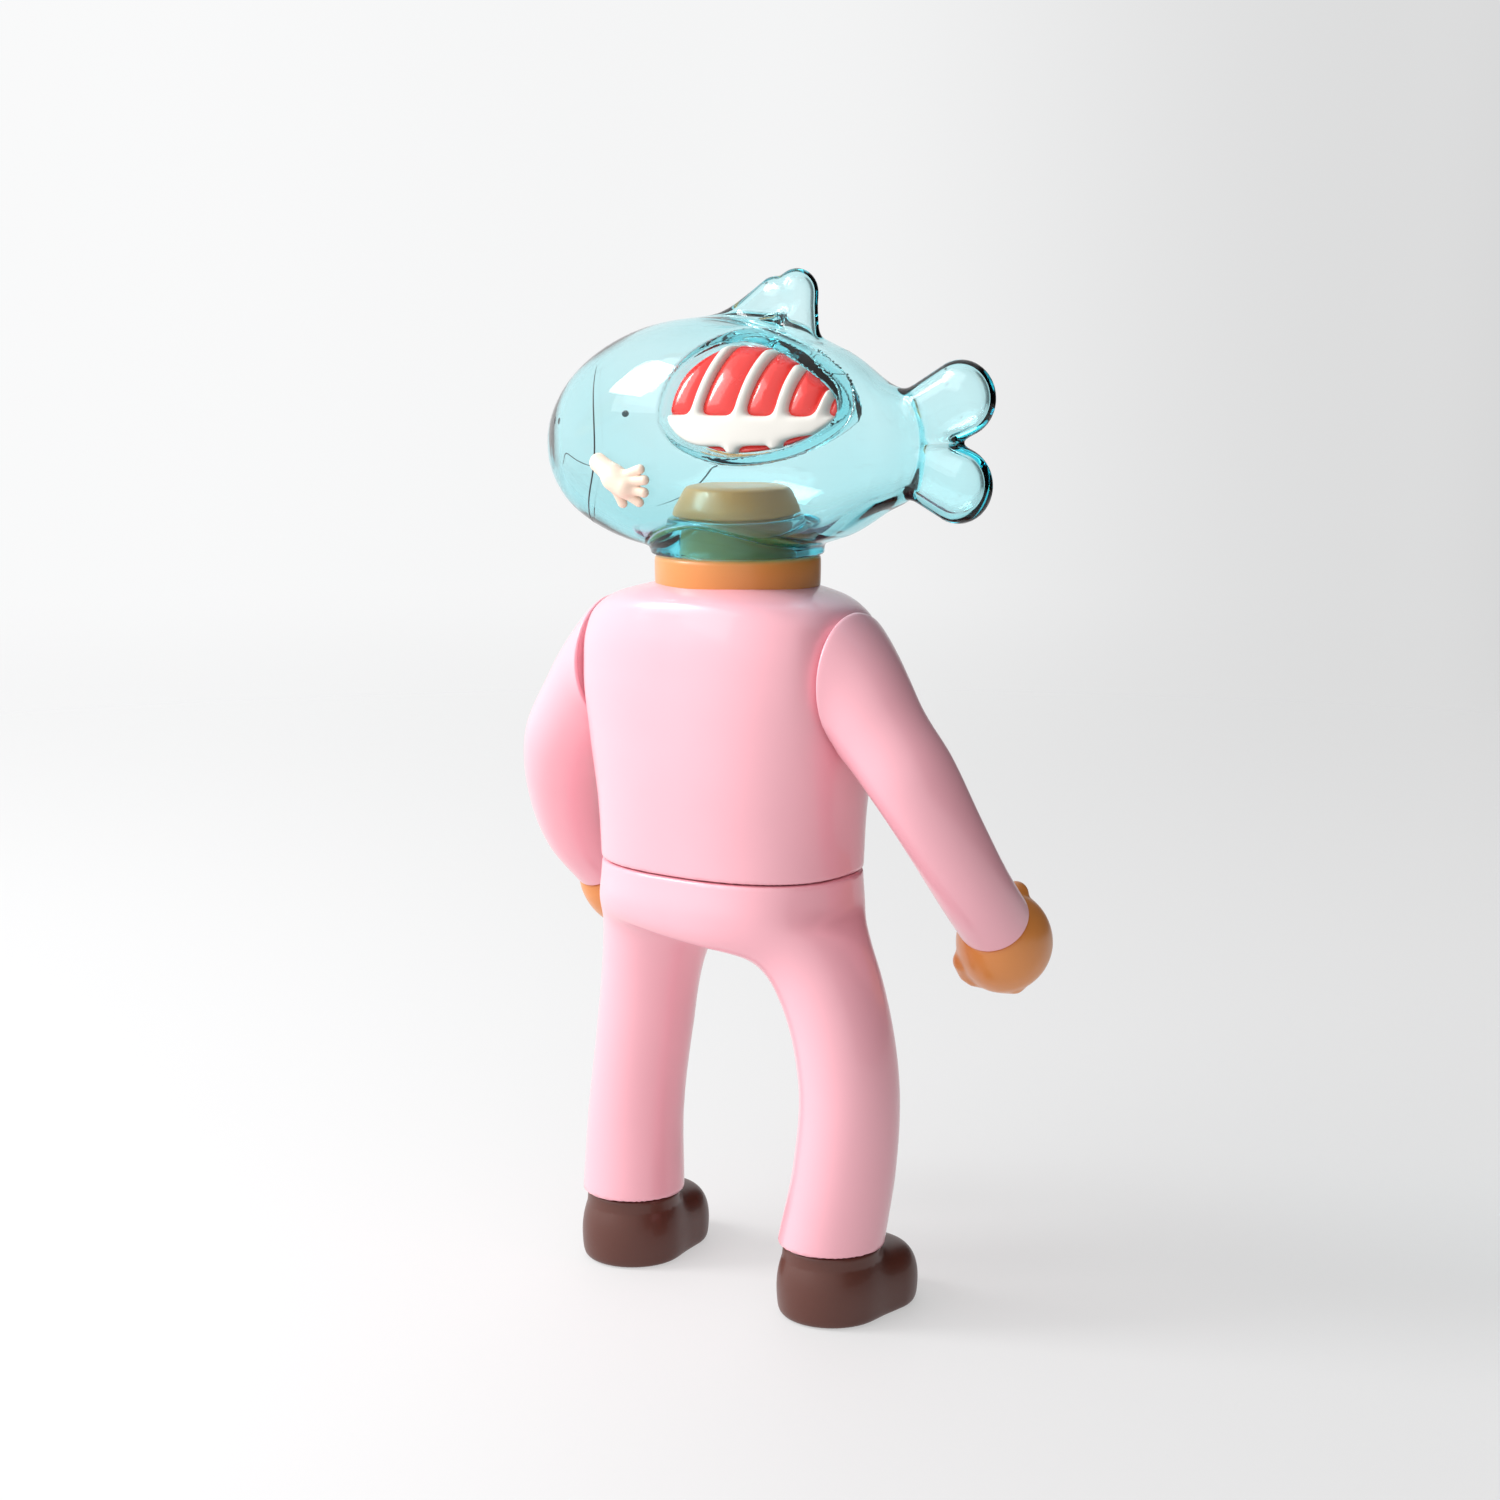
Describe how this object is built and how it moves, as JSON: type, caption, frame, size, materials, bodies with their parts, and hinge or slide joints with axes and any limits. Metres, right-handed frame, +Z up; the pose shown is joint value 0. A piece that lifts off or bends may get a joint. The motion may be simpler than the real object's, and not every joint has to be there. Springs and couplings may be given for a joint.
{
  "type": "vinyl art toy",
  "caption": "Standing suited figure in glossy soft vinyl with a clear fish for a head, a ribbed window in its flank, and turning head, waist, arms, hands and shoes.",
  "frame": {"origin": "on the floor, under the middle of the figure's box at rest", "axes": "+Z up, the body faces -Y and its left hand is on +X; the fish's nose points to +X"},
  "size_m": [0.1542, 0.0779, 0.27],
  "materials": {
    "clear_vinyl": "clear tinted gloss",
    "flesh": "gloss",
    "bone": "satin",
    "pale_skin": "satin",
    "skin": "gloss",
    "suit": "gloss",
    "shoe": "gloss"
  },
  "bodies": {
    "legs": {"hips_and_legs": "suit"},
    "torso": {"torso_shell": "suit", "neck": "skin"},
    "head": {"fish_shell": "clear_vinyl", "flesh_insert": "flesh", "rib_insert": "bone", "flank_hand": "pale_skin"},
    "arm_left": {"sleeve_left": "suit"},
    "arm_right": {"sleeve_right": "suit"},
    "fist_left": {"hand_left": "skin"},
    "fist_right": {"hand_right": "skin"},
    "foot_left": {"shoe_left": "shoe"},
    "foot_right": {"shoe_right": "shoe"}
  },
  "joints": [
    {"name": "waist_turn", "type": "hinge", "parent": "legs", "child": "torso", "pos_m": [0.0002, 0.0102, 0.116], "axis": [0, 0, 1], "continuous": true},
    {"name": "head_turn", "type": "hinge", "parent": "torso", "child": "head", "pos_m": [0.0002, 0.0072, 0.2], "axis": [0, 0, 1], "continuous": true},
    {"name": "shoulder_left", "type": "hinge", "parent": "torso", "child": "arm_left", "pos_m": [0.039, 0.0102, 0.168], "axis": [1, 0, 0], "range_deg": [-80, 12]},
    {"name": "shoulder_right", "type": "hinge", "parent": "torso", "child": "arm_right", "pos_m": [-0.0386, 0.0102, 0.168], "axis": [1, 0, 0], "range_deg": [-80, 12]},
    {"name": "wrist_left", "type": "hinge", "parent": "arm_left", "child": "fist_left", "pos_m": [0.0656, -0.0158, 0.1042], "axis": [-0.1103, -0.7417, -0.6616], "continuous": true},
    {"name": "wrist_right", "type": "hinge", "parent": "arm_right", "child": "fist_right", "pos_m": [-0.0652, -0.0158, 0.1042], "axis": [0.1103, -0.7417, -0.6616], "continuous": true},
    {"name": "ankle_left", "type": "hinge", "parent": "legs", "child": "foot_left", "pos_m": [0.0342, 0.0102, 0.0202], "axis": [0, 0, 1], "range_deg": [-45, 45]},
    {"name": "ankle_right", "type": "hinge", "parent": "legs", "child": "foot_right", "pos_m": [-0.0348, 0.0132, 0.0202], "axis": [0, 0, 1], "range_deg": [-45, 45]}
  ]
}
